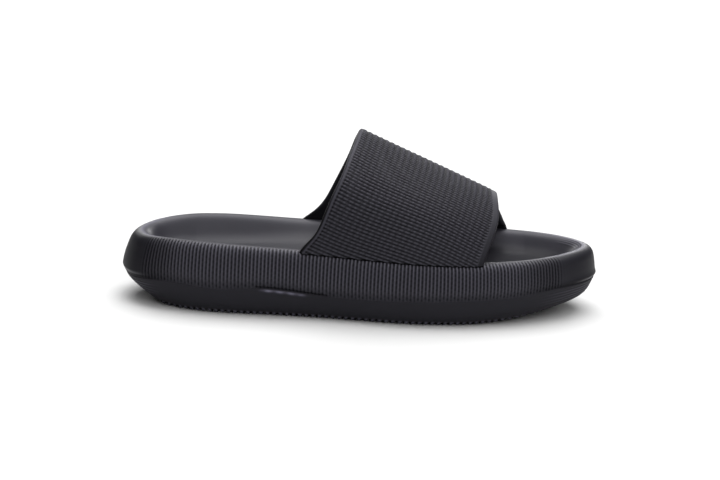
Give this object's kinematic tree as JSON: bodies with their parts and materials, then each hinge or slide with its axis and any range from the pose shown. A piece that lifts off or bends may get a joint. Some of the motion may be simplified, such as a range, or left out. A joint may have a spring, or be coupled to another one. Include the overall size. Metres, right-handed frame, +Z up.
{
  "type": "slide sandal",
  "caption": "Foam slide sandal for the right foot: ribbed cushioned sole with a cupped footbed and one wide textured strap over the instep.",
  "frame": {"origin": "on the ground under the middle of the sole's length and width", "axes": "+X from heel to toe, -Y the little-toe side of a right foot, +Z up"},
  "size_m": [0.2747, 0.106, 0.1017],
  "materials": {
    "outsole_foam": "matte moulded foam, darkest along the flank",
    "midsole_foam": "matte moulded foam, ribbed side wall and smooth rim",
    "strap_foam": "matte moulded foam with a woven relief"
  },
  "bodies": {
    "root": {"outsole": "outsole_foam", "midsole": "midsole_foam", "strap": "strap_foam"}
  },
  "joints": []
}
